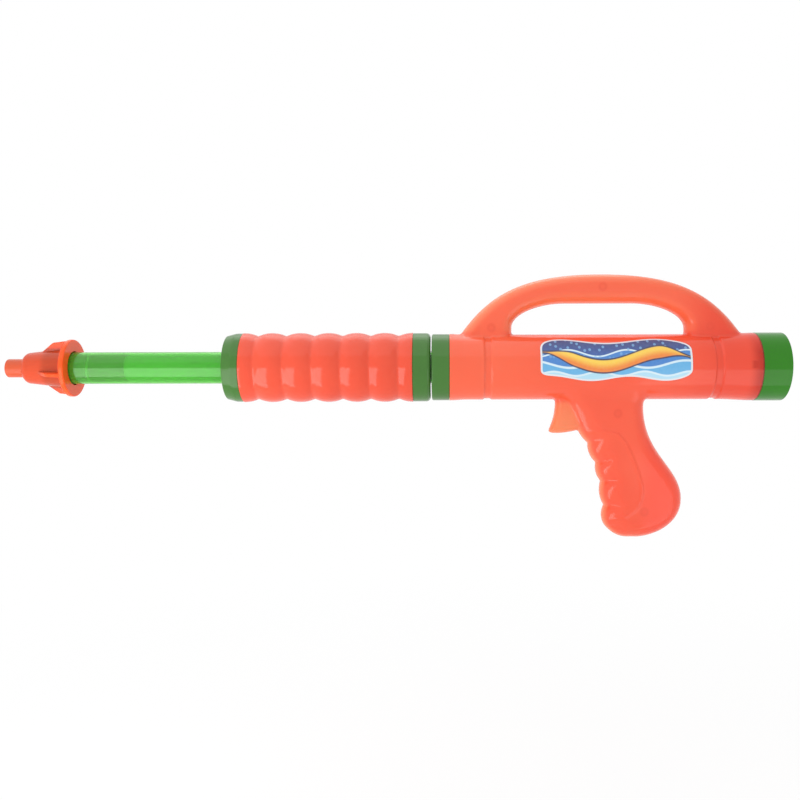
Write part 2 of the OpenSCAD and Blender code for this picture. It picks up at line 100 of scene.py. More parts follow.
# a closed profile of (x, radius) turned about the barrel: y = r sin(angle), z = r cos(angle);
# a profile point on the axis becomes one pole
def lathe(profile, normal, segments):
    angle = np.linspace(0, 2 * np.pi, segments, endpoint=False)
    ahead = np.roll(profile, -1, axis=0)
    if (profile[:, 0] * ahead[:, 1] - ahead[:, 0] * profile[:, 1]).sum() < 0:
        profile, normal = profile[::-1], -normal[::-1]

    def spun(p):
        x, r = np.repeat(p[:, :1], segments, 1), p[:, 1:]
        return np.stack([x, r * np.sin(angle), r * np.cos(angle)], -1).reshape(-1, 3)

    pole = profile[:, 1] < hair
    if pole.any():
        way = np.sign(profile[pole, 0] - profile[pole, 0].mean())
        normal[pole] = np.stack([way, 0 * way], -1)
    number = np.arange(len(profile))[:, None] * segments + np.where(pole[:, None], 0, np.arange(segments))
    after = np.roll(number, -1, axis=0)
    quads = np.stack([number, np.roll(number, -1, axis=1), np.roll(after, -1, axis=1), after], -1)
    nextPole = np.roll(pole, -1)
    faces = quads[~pole & ~nextPole].reshape(-1, 4).tolist()
    faces += quads[pole & ~nextPole][..., [0, 2, 3]].reshape(-1, 3).tolist()
    faces += quads[~pole & nextPole][..., [0, 1, 2]].reshape(-1, 3).tolist()
    return spun(profile), faces, spun(normal)


# several meshes as one: points and normals stacked, face numbers moved along
def stacked(parts):
    starts = np.cumsum([0] + [len(p[0]) for p in parts[:-1]])
    faces = [[v + int(start) for v in face] for part, start in zip(parts, starts) for face in part[1]]
    return np.concatenate([p[0] for p in parts]), faces, np.concatenate([p[2] for p in parts])


# a surface given a wall: its faces, the same ones turned round on the inner points, and a rim at open edges
def walled(outer, inner, normal, face):
    n = len(outer)
    a, b = face.ravel(), np.roll(face, -1, axis=1).ravel()
    lone = ~np.isin(a * n + b, b * n + a)
    rim = np.stack([b[lone], a[lone], a[lone] + n, b[lone] + n], -1)
    both = np.concatenate([outer, inner])
    flow = np.concatenate([normal, -normal])
    across = unit(np.cross(both[rim[:, 2]] - both[rim[:, 0]], both[rim[:, 3]] - both[rim[:, 1]]))
    back = face[:, ::-1] + n
    faces = np.concatenate([face, back, rim]).tolist()
    return both, faces, np.concatenate([flow[face], flow[back], np.repeat(across[:, None], 4, 1)])


# a mesh in millimetres goes into Blender in metres, with its own corner normals or sharp by angle
def addPiece(name, points, faces, cornerNormals, material, body, node, slotName):
    mesh = bpy.data.meshes.new(name)
    mesh.from_pydata((np.asarray(points) * mm).tolist(), [], faces)
    mesh.polygons.foreach_set("use_smooth", np.ones(len(mesh.polygons), bool))
    if cornerNormals is None:
        mesh.set_sharp_from_angle(angle=sharpAngle)
    else:
        mesh.normals_split_custom_set(np.asarray(cornerNormals).reshape(-1, 3).tolist())
    mesh.update()
    piece = bpy.data.objects.new(name, mesh)
    bpy.context.scene.collection.objects.link(piece)
    mesh.materials.append(material)
    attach(piece, body)
    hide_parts(node)
    print(name, len(faces), "faces")
    return piece


# a piece with one normal per point: unused points are left out; home is material, body, node and slot
def addSmooth(name, points, faces, normals, *home):
    flat = np.concatenate([np.array(f) for f in faces])
    used, number = np.unique(flat, return_inverse=True)
    ends = np.cumsum([len(f) for f in faces])
    kept = [part.tolist() for part in np.split(number, ends[:-1])]
    corner = None if normals is None else normals[flat]
    return addPiece(name, points[used], kept, corner, *home)


# a filleted profile turned about the barrel
def addTurned(name, corners, *home, segments=160):
    return addSmooth(name, *lathe(*filleted(corners), segments), *home)


# material helpers


# a screen tone from 0 to 255 as the linear colour that a shader takes
def linear(tone):
    c = np.array(tone) / 255
    return tuple(np.where(c <= 0.04045, c / 12.92, ((c + 0.055) / 1.055) ** 2.4)) + (1.0,)


class Board:
    # a board of nodes: each call adds a node, sets or links its inputs and hands back its output
    def __init__(self, owner, shaderName, coordinates):
        owner.use_nodes = True
        self.owner = owner
        self.tree = owner.node_tree
        self.shader = self.tree.nodes[shaderName]
        self.colour = None  # the colour so far
        self.share = None  # how far the clouds have blended it
        self.marks = {}  # ramps by name
        self.place = self.add("ShaderNodeTexCoord").outputs[coordinates]

    def add(self, kind, **settings):
        node = self.tree.nodes.new(kind)
        for key, value in settings.items():
            setattr(node, key, value)
        return node

    def put(self, socket, value):
        if isinstance(value, bpy.types.NodeSocket):
            self.tree.links.new(value, socket)
        else:
            socket.default_value = value

    def math(self, operation, a, b=0.0, c=0.0):
        node = self.add("ShaderNodeMath", operation=operation)
        for socket, value in zip(node.inputs, (a, b, c)):
            self.put(socket, value)
        return node.outputs[0]

    def times(self, a, b):
        return self.math("MULTIPLY", a, b)

    def minus(self, a, b):
        return self.math("SUBTRACT", a, b)

    def most(self, a, b):
        return self.math("MAXIMUM", a, b)

    def off(self, a, b):  # how far a is from b
        return self.math("ABSOLUTE", self.minus(a, b))

    def radius(self, a, b):  # the root of a squared plus b squared
        return self.math("SQRT", self.math("ADD", self.times(a, a), self.times(b, b)))

    def ramp(self, value, low, high, start=0.0, end=1.0):
        node = self.add("ShaderNodeMapRange", interpolation_type="SMOOTHSTEP")
        for socket, given in zip(node.inputs[:5], (value, low, high, start, end)):
            self.put(socket, given)
        return node.outputs[0]

    def zone(self, *pairs):  # the product of ramps, each given as a value and the name of its mark
        share = 1.0
        for value, name in pairs:
            share = self.times(share, self.ramp(value, *self.marks[name]))
        return share

    def blend(self, factor, a, b):  # a and b are sockets or screen tones
        node = self.add("ShaderNodeMix", data_type="RGBA")
        self.put(node.inputs[0], factor)
        for socket, value in zip(node.inputs[6:8], (a, b)):
            self.put(socket, linear(value) if isinstance(value, tuple) else value)
        return node.outputs[2]

    def paint(self, factor, tone):  # a tone over the colour so far
        self.colour = self.blend(factor, self.colour, tone)

    def noise(self, scale, detail=2.0, stretch=None):
        node = self.add("ShaderNodeTexNoise")
        where = self.place
        if stretch:
            mapping = self.add("ShaderNodeMapping")
            self.put(mapping.inputs["Vector"], where)
            mapping.inputs["Scale"].default_value = stretch
            where = mapping.outputs[0]
        self.put(node.inputs["Vector"], where)
        node.inputs["Scale"].default_value = scale
        node.inputs["Detail"].default_value = detail
        return node.outputs["Fac"]

    def axes(self):
        node = self.add("ShaderNodeSeparateXYZ")
        self.put(node.inputs[0], self.place)
        return list(node.outputs)

    def attribute(self, name):
        return self.add("ShaderNodeAttribute", attribute_name=name).outputs["Fac"]

    def bump(self, height, distance, strength):
        node = self.add("ShaderNodeBump")
        node.inputs["Strength"].default_value = strength
        node.inputs["Distance"].default_value = distance
        self.put(node.inputs["Height"], height)
        self.put(self.shader.inputs["Normal"], node.outputs[0])

    def seen(self):  # 1 for a ray that looks at, mirrors or looks through, 0 for plain light
        path = self.add("ShaderNodeLightPath").outputs
        direct = self.most(path["Is Camera Ray"], path["Is Glossy Ray"])
        return self.most(direct, path["Is Transmission Ray"])

    def set(self, **values):
        for key, value in values.items():
            self.put(self.shader.inputs[key.replace("_", " ")], value)


# the board of a new material
def newBoard(name):
    return Board(bpy.data.materials.new(name), "Principled BSDF", "Object")


# plastics


# a finish from up to three noises: clouds blend two tones, dents bump the surface, gloss sets its roughness;
# the clouds stand in where a look has no dents or gloss of its own
def moulded(name, look, tones):
    board = newBoard(name)
    clouds = board.noise(look["cloudScale"], cloudDetail, look.get("cloudStretch"))
    dents = gloss = clouds
    if "dentScale" in look:
        dents = board.noise(look["dentScale"], stretch=look.get("dentStretch"))
    if "glossScale" in look:
        gloss = board.noise(look["glossScale"])
    board.share = board.ramp(clouds, *look["cloudRange"]) if "cloudRange" in look else clouds
    board.colour = board.blend(board.share, *tones)
    board.bump(dents, look["dentDepth"], look["dents"])
    board.set(Base_Color=board.colour, Roughness=board.ramp(gloss, *look["rough"]), **look["shader"])
    return board


# orange plastic that lets some light in: flow clouds, fine orange peel and a slow change of gloss
orangeLook = {
    "cloudScale": 14.0, "cloudRange": (0.35, 0.7), "dentScale": 420.0, "dentDepth": 0.00003, "dents": 0.15,
    "glossScale": 35.0, "rough": (0.35, 0.7, 0.10, 0.15),
    "shader": {"IOR": 1.49, "Specular_IOR_Level": 0.42, "Subsurface_Weight": 0.12, "Subsurface_Scale": 0.003,
               "Subsurface_Radius": (1.0, 0.45, 0.25)},
}
# a pair is the plain tone and the deeper one of the clouds
orangeTones = {
    "shell": ((255, 97, 67), (252, 91, 62)), "sleeve": ((236, 83, 54), (231, 77, 48)),
    # the front and handle tones are painted light, the rear and heel tones painted shade
    "nozzle": ((208, 78, 46), (202, 72, 41)), "front": (255, 105, 71), "rear": (238, 76, 50),
    # the tone for thin edges and the trigger is a painted glow
    "handle": (255, 106, 73), "heel": (255, 80, 55), "thin": (255, 140, 94), "boss": (230, 72, 50),
    "skirt": (180, 32, 8), "joint": (110, 36, 8), "nozzleTip": (208, 89, 55), "nozzleSocket": (160, 62, 32),
    # the nozzle flange tone is painted light
    "paintedFlangeLight": (255, 88, 32),
}

# where the shells' tones begin and end, in metres, some with the strengths there
shellMarks = {
    # the front, rear, handle and heel marks place painted light and shade
    "soft": 0.25, "rear": (-0.10, -0.04), "rearZ": (-0.03, -0.02), "front": (-0.12, -0.22),
    "handle": (-0.05, -0.09), "handleZ": (0.024, 0.034), "heel": (-0.114, -0.096, 0.0, 0.8),
    # the marks for thin edges and the trigger place a painted glow
    "heelZ": (-0.028, -0.045), "thin": (-0.04, -0.16, 0.35, 0.8),
    "trigger": (-0.022, -0.044, 0.0, 0.85), "triggerRear": (-0.150, -0.164),
    "bossInner": (0.0008, 0.0022), "bossOuter": (0.0040, 0.0026), "bossRing": 0.3,
    "bossSpot": (0.0050, 0.0016, 0.0, 0.35), "nearSide": (0.002, -0.002), "bossShade": 0.5,
    "skirt": (-0.0320, -0.0215, 0.0, 1.5), "skirtTop": (0.023, 0.008, 0.45, 1.0),
    "skirtFoot": (-0.024, -0.010, 0.6, 1.0), "skirtShade": 0.6, "joint": (-0.0221, -0.0211, 0.0, 0.8),
    "key": (-0.0310, -0.0275), "keyMiddle": 0.0006, "keyHalf": (0.0042, 0.0020), "keyShade": 1.2,
    "collar": (-0.2236, -0.2262, 0.0, 0.08),
    "grooveHalf": (0.0036, 0.0028), "grooveRadius": (0.0247, 0.0243), "grooveShade": 0.12,
}

# the screws' places in (x, z) in millimetres, and where their bosses show through the near shell
bosses = [(-134.75, 58.45), (-219.5, 29.15), (-53.0, 29.15), (-124.2, -34.8), (-104.3, -107.8)]
bossMarks = [(-134.5, 58.9), (-216.9, 28.6), (-55.2, 29.4), (-124.2, -34.8), (-105.0, -107.2)]


# the shells add what shows through the thin wall, boss marks, the caps' skirts and a darker patch by the rear
# cap;
# and painted shade in the grooves, a painted glow in thin edges and in the trigger, and painted light and
# shade in a slow change from the pale front to the deep rear
def shellPlastic():
    tones, m = orangeTones, shellMarks
    board = moulded("shellOrange", orangeLook, tones["shell"])
    board.marks = m
    x, y, z = board.axes()
    # painted light and shade: a paler front and upper handle, a deeper upper rear and a deeper back of the
    # grip
    board.paint(board.zone((x, "front")), tones["front"])
    for name in ("rear", "handle", "heel"):
        board.paint(board.zone((x, name), (z, name + "Z")), tones[name])
    # painted glow in thin edges and in the trigger, as if light came through the wall
    board.paint(board.times(board.attribute("thin"), board.zone((x, "thin"))), tones["thin"])
    board.paint(board.zone((z, "trigger"), (x, "triggerRear")), tones["thin"])
    shade = 0.0
    for bossX, bossZ in bossMarks:
        away = board.radius(board.minus(x, bossX * mm), board.minus(z, bossZ * mm))
        ring = board.zone((away, "bossInner"), (away, "bossOuter"))
        spot = board.math("MULTIPLY_ADD", ring, m["bossRing"], board.zone((away, "bossSpot")))
        shade = board.most(shade, spot)
    shade = board.times(shade, board.zone((y, "nearSide")))
    near = board.zone((x, "skirt"), (z, "skirtTop"), (z, "skirtFoot"))
    # a darker patch just in front of the rear cap
    key = board.zone((x, "key"), (board.off(z, m["keyMiddle"]), "keyHalf"))
    near = board.most(near, board.times(key, m["keyShade"]))
    near = board.most(near, board.zone((x, "collar")))
    # painted shade in the two ring grooves, in the deep tone of the skirts
    radius = board.radius(y, z)
    for groove in shell["grooves"]:
        band = board.zone((board.off(x, groove * mm), "grooveHalf"), (radius, "grooveRadius"))
        near = board.most(near, board.times(band, m["grooveShade"]))
    board.paint(board.times(shade, m["bossShade"]), tones["boss"])
    # the skirts, the collar and the patch by the rear cap, with the painted shade of the grooves, in one deep
    # tone
    board.paint(board.times(near, m["skirtShade"]), tones["skirt"])
    board.paint(board.zone((x, "joint")), tones["joint"])
    board.set(Base_Color=board.colour, Subsurface_Weight=m["soft"])
    return board.owner


nozzleMarks = {
    "tip": (-0.563, -0.566), "socketFront": (-0.5510, -0.5455), "socketRear": (-0.5335, -0.5365),
    "socketRadius": (0.0156, 0.0148, 0.0, 0.5), "flange": (-0.5328, -0.5312),
    "finRadius": (0.0150, 0.0185, 0.0, 0.7), "specular": 0.25,
}


# the nozzle is duller: a paler tip, the tube's end dark through the socket, and painted light on the thin
# flange and the fins
def nozzlePlastic():
    tones = orangeTones
    board = moulded("nozzleOrange", orangeLook, tones["nozzle"])
    board.marks = nozzleMarks
    x, y, z = board.axes()
    radius = board.radius(y, z)
    board.paint(board.zone((x, "tip")), tones["nozzleTip"])
    socket = board.zone((x, "socketFront"), (x, "socketRear"), (radius, "socketRadius"))
    board.paint(socket, tones["nozzleSocket"])
    # painted light on the flange and the outer parts of the fins
    thin = board.most(board.zone((x, "flange")), board.zone((radius, "finRadius")))
    board.paint(thin, tones["paintedFlangeLight"])
    board.set(Base_Color=board.colour, Specular_IOR_Level=nozzleMarks["specular"])
    return board.owner


capLook = {
    # the front tone is greyed by a painted reflection
    "front": (67, 119, 46), "rear": (40, 127, 1), "cloud": (20, 60, 10), "rearRange": (-0.2, -0.03),
    "cloudScale": 30.0, "cloudRange": (0.3, 0.7, 0.0, 0.12), "dentScale": 300.0,
    "dentStretch": (6.0, 0.4, 0.4), "dentDepth": 0.00002, "dents": 0.4, "glossScale": 60.0,
    "rough": (0.35, 0.7, 0.10, 0.15), "shader": {"IOR": 1.5, "Specular_IOR_Level": 0.36},
}


# gloss green caps, greyer at the front as a painted reflection and deeper green at the rear: flow clouds and
# faint turning rings from the mould
def capGreen():
    look = capLook
    board = moulded("capGreen", look, (look["front"], look["cloud"]))
    # painted reflection: the front caps greyer, the rear cap deeper green
    rear = board.ramp(board.axes()[0], *look["rearRange"])
    board.paint(rear, board.blend(board.share, look["rear"], look["cloud"]))
    board.set(Base_Color=board.colour)
    return board.owner


# clear green tube with faint drawing streaks along it
tubeLook = {
    "tones": ((120, 229, 80), (112, 225, 72)), "cloudScale": 60.0, "cloudStretch": (0.08, 1.0, 1.0),
    "cloudRange": (0.3, 0.7), "dentDepth": 0.00002, "dents": 0.15, "rough": (0.3, 0.8, 0.05, 0.09),
    "shader": {"IOR": 1.49, "Specular_IOR_Level": 0.35, "Transmission_Weight": 0.8},
}
# satin mouldings of the inner pieces, slightly cloudy with a fine grain
innerLook = {
    "white": ((240, 240, 236), (226, 227, 222)), "grey": ((138, 140, 136), (126, 128, 124)),
    "cloudScale": 40.0, "dentScale": 350.0, "dentDepth": 0.00003, "dents": 0.4,
    "rough": (0.3, 0.7, 0.38, 0.48), "shader": {},
}
# pale natural rubber with a fine grain
sealLook = {
    "tones": ((226, 222, 204), (212, 206, 186)), "cloudScale": 600.0, "dentDepth": 0.00005, "dents": 0.5,
    "rough": (0.3, 0.7, 0.5, 0.65), "shader": {},
}
# zinc-plated steel with fine brush marks
screwLook = {
    "tones": ((176, 178, 182), (205, 206, 208)), "cloudScale": 900.0, "cloudStretch": (1.0, 0.1, 1.0),
    "dentDepth": 0.00002, "dents": 0.5, "rough": (0.3, 0.7, 0.28, 0.4), "shader": {"Metallic": 1.0},
}


# body shells

shell = {
    "front": -247.8, "rear": -20.8, "radius": 24.4, "wall": 1.9, "seam": 0.18,
    "frontFlare": 0.6, "flareLen": 12.0, "rearFlare": 1.0, "rearFlareLen": 26.0,
    "grooves": (-219.6, -52.0), "grooveWidth": 6.4, "grooveDepth": 0.9, "grooveEase": (0.3, 1.6),
    "wellRadius": 2.9, "wellFloor": 5.0, "wellFillet": 0.7,
    "thinReach": (9.0, 3.5), "thinStart": 24.5, "thinFade": (3.0, 4.0),
    "cells": 208, "cellsAcross": 50, "low": -129.0, "height": 201.0,
    "passes": 4, "leastSlope": 0.05, "longestShift": 0.6, "farOff": 60.0,
}
handleShape = {
    "middle": -134.75, "halfSpan": 104.75, "top": 69.3, "footLen": 40.0, "footLean": 55.0, "footSink": 20.0,
    "footPull": 38.0, "crownPull": 47.9, "archSteps": 26, "half": 10.5, "edge": 8.0, "fillet": 1.8,
    "openingMiddle": -136.55, "openingTop": 47.6, "openingRise": 4.9, "openingSink": 20.0,
    "sidePull": 0.55, "cornerPull": 19.6, "cornerLen": 40.0, "openingSteps": 18,
}
# points in (x, z) from the grip's neck
gripShape = {
    "x": -103.0, "half": 13.8, "edge": 11.5, "frontEdge": 5.0, "frontReach": (6.0, 16.0),
    "sideFillet": 6.0, "edgeFillet": 3.0, "filletReach": (3.0, 8.0),
    "neckFront": ((-60.5, 16), (-60.5, 2), (-54, -11)),
    "valleys": ((-48, -24.3), (-41.5, -32.5), (-35.6, -47.1), (-32, -61), (-29.7, -79), (-29.4, -93.6)),
    "fingerSag": 1.9, "sagShares": (0.25, 0.95, 0.85, 1, 1), "creaseShares": (0.0, 0.7, 1.0, 1.0, 1.0, 0.7),
    "toe": ((-29.4, -93.6), (-26, -97.8), (-21, -102.84), (-12, -102.84)),
    "neckBack": ((3, 16), (1, 2)),
    "back": ((0, -5.2), (0, -41.4), (28, -50.1), (28, -74)),
    "heel": ((28, -74), (28, -93.5), (7.5, -102.84), (-8, -102.84)),
    "pinch": 1.1, "pinchReach": 17.0, "lobeRound": 0.9, "lobeEnd": 8.0, "crease": 0.9, "creaseHalf": 1.6,
    "panelRise": 0.35, "panelEase": 1.6, "panelBead": 0.4,
    "lobeSteps": 8, "toeSteps": 10, "backSteps": 22, "heelSteps": 18,
}
# points in (x, z) from the trigger's tip, the back ones from the grip's neck
triggerShape = {
    "tip": -70.5, "half": 6.5, "edge": 5.5, "fillet": 2.0, "root": (4.8, 9),
    "front": ((4.8, 0), (4.9, -11), (2.2, -17), (0, -22.4)),
    "toe": ((0, -22.4), (-0.8, -24.6), (1.4, -25.2), (6, -25.2)),
    "under": ((6, -25.2), (11, -25.2), (17, -24), (23, -22.6)),
    "back": ((-43, -19), (-48, 9)), "steps": (10, 8, 8),
}
# outline of the raised finger panel on the sides of the grip, in (x, z)
panelRing = np.array([
    (-151, -47.5), (-130, -48.5), (-124.0, -50.0), (-119.0, -55.8), (-115.4, -63.1), (-111.7, -71.7),
    (-108.7, -80.7), (-106.6, -88.1), (-106.6, -94.4), (-107.7, -99.5), (-109.7, -103.5), (-113.9, -107.7),
    (-119.0, -111.3), (-128.0, -113.5), (-140, -114.5), (-175, -114.5), (-175, -47.5)])
gripNeck = np.array([gripShape["x"], -shell["radius"]])


# the handle's arch and the hand opening under it, each half a cubic curve with its mirror image, as one ring
def handleRing():
    h = handleShape
    leanAngle = math.radians(h["footLean"])
    lean = np.array([math.cos(leanAngle), -math.sin(leanAngle)])
    foot = np.array([h["halfSpan"], shell["radius"]])
    crown = (foot[0] - h["crownPull"], h["top"])
    side = bend(foot, foot - h["footPull"] * lean, crown, (0, h["top"]), h["archSteps"])
    arch = np.concatenate([[foot + h["footSink"] * lean], side])
    arch = np.concatenate([arch, [[0, h["top"]]], arch[::-1] * [-1, 1]]) + [h["middle"], 0]
    w, top, low = h["halfSpan"] - h["footLen"], h["openingTop"], shell["radius"] + h["openingRise"]
    flat = (w - h["cornerLen"], top)
    side = bend((w, low), (w, low + h["sidePull"] * (top - low)), (w - h["cornerPull"], top), flat,
                h["openingSteps"])
    gap = np.concatenate([[[w, shell["radius"] - h["openingSink"]]], side, [flat]])
    gap = np.concatenate([gap, gap[::-1] * [-1, 1]]) + [h["openingMiddle"], 0]
    return np.concatenate([arch, gap[::-1]])


# the grip: a bulge between each two valleys at the front, cubic curves for the toe, the back and the heel
def gripRing():
    g = gripShape
    front = [np.array(g["neckFront"])]
    for start, end, share in zip(g["valleys"], g["valleys"][1:], g["sagShares"]):
        front.append(bulge(start, end, g["fingerSag"] * share, g["lobeSteps"]))
    front.append(bend(*g["toe"], g["toeSteps"]))
    back = [np.array(g["neckBack"]), bend(*g["back"], g["backSteps"]), bend(*g["heel"], g["heelSteps"])]
    return np.concatenate([np.concatenate(front), np.concatenate(back)[::-1]]) + gripNeck


# the trigger: three cubic curves from its root round the toe, then straight up the back
def triggerRing():
    t = triggerShape
    runs = [np.array([t["root"]]) + [t["tip"], 0]]
    for name, steps in zip(("front", "toe", "under"), t["steps"]):
        runs.append(bend(*(np.array(t[name]) + [t["tip"], 0]), steps))
    return np.concatenate(runs + [np.array(t["back"])]) + gripNeck


# signed distance to a ring in the x-z plane, with its slope: the nearest point of every side, minus inside
def ringDistance(x, z, ring, onLine=0.02):
    a, side = ring, np.roll(ring, -1, axis=0) - ring
    dx, dz = x[:, None] - a[:, 0], z[:, None] - a[:, 1]
    t = np.clip((dx * side[:, 0] + dz * side[:, 1]) / (side ** 2).sum(1), 0, 1)
    dx, dz = dx - t * side[:, 0], dz - t * side[:, 1]
    square = dx * dx + dz * dz
    near = square.argmin(1)
    row = np.arange(len(x))
    d = np.sqrt(square[row, near])
    zA, zB = a[:, 1], a[:, 1] + side[:, 1]
    crosses = (zA > z[:, None]) != (zB > z[:, None])
    at = a[:, 0] + side[:, 0] * (z[:, None] - zA) / np.where(side[:, 1] == 0, tiny, side[:, 1])
    sign = np.where((crosses & (x[:, None] < at)).sum(1) % 2 == 1, -1.0, 1.0)
    turn = np.sign((a[:, 0] * zB - (a[:, 0] + side[:, 0]) * zA).sum())
    flat = unit(np.stack([side[:, 1], -side[:, 0]], -1))[near] * turn
    away = np.stack([dx[row, near], dz[row, near]], -1) * sign[:, None] / np.maximum(d, tiny)[:, None]
    slope = np.where((d > onLine)[:, None], away, flat)  # on the line itself the side's own normal
    return sign * d, slope[:, 0], slope[:, 1]


# the lesser of two fields, rounded off by k where they are about the same
def smoothMin(a, b, k):
    h = np.maximum(k - np.abs(a - b), 0) / k
    return np.minimum(a, b) - h * h * k / 4


# a flat slab whose edge is a quarter ellipse: about the distance to it, from the outline's distance d and y
def pillow(d, y, half, edge):
    a, b = np.maximum(edge + d, 0) / edge, np.abs(y) / half
    k = np.sqrt(a * a + b * b)
    return k * (k - 1) / np.maximum(np.sqrt((a / edge) ** 2 + (b / half) ** 2), hair)


# the tube's radius along x: a flare at each end and two ring grooves, all with S-shaped sides
def tubeRadius(x):
    s = shell
    r = s["radius"] + s["frontFlare"] * easeStep((s["front"] + s["flareLen"] - x) / s["flareLen"])
    r = r + s["rearFlare"] * easeStep((x - s["rear"] + s["rearFlareLen"]) / s["rearFlareLen"])
    past, ease = s["grooveEase"]
    for groove in s["grooves"]:
        r = r - s["grooveDepth"] * easeStep((s["grooveWidth"] / 2 + past - np.abs(x - groove)) / ease)
    return r


# how the fingers shape the grip: a round lobe 1 - sqrt(1 - q^2) between two valleys, q from -1 to 1, with a
# bell-shaped crease on each valley; also the distance from the line that joins the valleys
def fingerLobes(x, z):
    g = gripShape
    chain = np.array(g["valleys"]) + gripNeck
    side = np.diff(chain, axis=0)
    length = np.hypot(side[:, 0], side[:, 1])
    start = np.concatenate([[0], np.cumsum(length)])
    near, along = np.inf, 0.0
    for i in range(len(side)):
        t = ((x - chain[i, 0]) * side[i, 0] + (z - chain[i, 1]) * side[i, 1]) / length[i] ** 2
        t = np.clip(t, -1 if i == 0 else 0, 2 if i == len(side) - 1 else 1)
        gap = np.hypot(x - chain[i, 0] - t * side[i, 0], z - chain[i, 1] - t * side[i, 1])
        along = np.where(gap < near, start[i] + t * length[i], along)
        near = np.minimum(gap, near)
    middles, end = (start[1:] + start[:-1]) / 2, g["lobeEnd"]
    reach = np.concatenate([start[:1] - end, middles, start[-1:] + end])
    sink = 0.0
    for at, low, high, share in zip(start, reach[:-1], reach[1:], g["creaseShares"]):
        q = 1 - np.where(along < at, (at - along) / (at - low), (along - at) / (high - at))
        lobe = 1 - np.sqrt(1 - g["lobeRound"] * np.clip(q, 0, 1) ** 2)
        crease = np.exp(-((along - at) / g["creaseHalf"]) ** 2)
        sink = sink + share * (g["pinch"] * lobe + g["crease"] * crease)
    return sink * (1 - easeStep(near / g["pinchReach"])), near


# the whole body as one field: tube, handle, grip and trigger joined with soft fillets, wells cut on the far
# side; the last four are distances to the outlines
def bodyField(x, y, z, toHandle, toGrip, toTrigger, toPanel):
    s, h, g, t = shell, handleShape, gripShape, triggerShape
    sink, near = fingerLobes(x, z)
    gripHalf = g["half"] + g["panelRise"] * easeStep(0.5 - toPanel / g["panelEase"])
    gripHalf = gripHalf + g["panelBead"] * np.exp(-toPanel ** 2) - sink
    gripEdge = g["edge"] + g["frontEdge"] * (1 - easeStep((near - g["frontReach"][0]) / g["frontReach"][1]))
    outward = easeStep((np.abs(y) - g["filletReach"][0]) / g["filletReach"][1])
    gripFillet = g["edgeFillet"] + (g["sideFillet"] - g["edgeFillet"]) * outward
    body = np.hypot(y, z) - tubeRadius(x)
    body = smoothMin(body, pillow(toHandle, y, h["half"], h["edge"]), h["fillet"])
    body = smoothMin(body, pillow(toGrip, y, gripHalf, gripEdge), gripFillet)
    body = smoothMin(body, pillow(toTrigger, y, t["half"], t["edge"]), t["fillet"])
    for bossX, bossZ in bosses:
        well = np.maximum(np.hypot(x - bossX, z - bossZ) - s["wellRadius"], s["wellFloor"] - y)
        body = -smoothMin(-body, well, s["wellFillet"])
    return body


rings = {"handle": handleRing(), "grip": gripRing(), "trigger": triggerRing(), "panel": panelRing}


# distances to the four outlines and their slopes, each worked out only on its own side of the tube
def flatFields(x, z):
    fields = {}
    for name, ring in rings.items():
        near = z > 0 if name == "handle" else z < 0
        d, gx, gz = np.full(len(x), shell["farOff"]), np.zeros(len(x)), np.zeros(len(x))
        d[near], gx[near], gz[near] = ringDistance(x[near], z[near], ring)
        fields[name] = (d, gx, gz)
    return fields


# field value and slope at loose points, by small steps along x, y and z
def fieldAndSlope(p, e=0.02):
    x, y, z = p.T
    flat = flatFields(x, z).values()

    def value(ex, ey, ez):
        return bodyField(x + ex, y + ey, z + ez, *[d + gx * ex + gz * ez for d, gx, gz in flat])

    steps = e * np.eye(3)
    slope = np.stack([value(*step) - value(*-step) for step in steps], -1) / (2 * e)
    return value(0, 0, 0), slope


# the zero surface of a field on a grid: one point per crossed cell, one quad per crossed edge
def contour(values, low, step):
    inside = values < 0
    ends = (slice(0, -1), slice(1, None))
    count = sum(inside[i, j, k].astype(np.int8) for i in ends for j in ends for k in ends)
    crossed = (count > 0) & (count < 8)
    cell = np.argwhere(crossed)
    number = np.full(crossed.shape, -1)
    number[crossed] = np.arange(len(cell))
    total, hits = np.zeros((len(cell), 3)), np.zeros((len(cell), 1))
    ways = np.eye(3, dtype=int)
    room = np.array(crossed.shape)
    quads = []
    for axis in range(3):
        others = ((axis + 1) % 3, (axis + 2) % 3)
        one, two = ways[others[0]], ways[others[1]]
        for corner in (0 * one, one, two, one + two):
            a = values[tuple((cell + corner).T)]
            b = values[tuple((cell + corner + ways[axis]).T)]
            hit = ((a < 0) != (b < 0))[:, None]
            t = np.where(hit[:, 0], a / np.where(hit[:, 0], a - b, 1), 0)[:, None]
            total += np.where(hit, corner + t * ways[axis], 0)
            hits += hit
        window = [slice(None)] * 3
        window[axis] = ends[0]
        start = inside[tuple(window)]
        window[axis] = ends[1]
        edge = np.argwhere(start != inside[tuple(window)])
        keep = np.ones(len(edge), bool)
        for other in others:
            keep &= (edge[:, other] > 0) & (edge[:, other] < room[other])
        edge = edge[keep]
        quad = np.stack([number[tuple((edge - c).T)] for c in (one + two, two, 0 * one, one)], -1)
        flip = ~start[tuple(edge.T)]
        quads.append(np.where(flip[:, None], quad[:, ::-1], quad))
    return low + (cell + total / hits) * step, np.concatenate(quads), cell


# how strongly the edges take a painted glow that stands for light through the thin wall: 1 at the outline of
# handle and grip, fading out a few millimetres in
def thinEdges(points):
    x, z = points[:, 0], points[:, 2]
    flat = flatFields(x, z)
    reach, start, fade = shell["thinReach"], shell["thinStart"], shell["thinFade"]
    upper = easeStep(1 + flat["handle"][0] / reach[0]) * easeStep((z - start) / fade[0])
    lower = easeStep(1 + flat["grip"][0] / reach[1]) * easeStep((-z - start) / fade[1])
    return np.maximum(upper, lower)


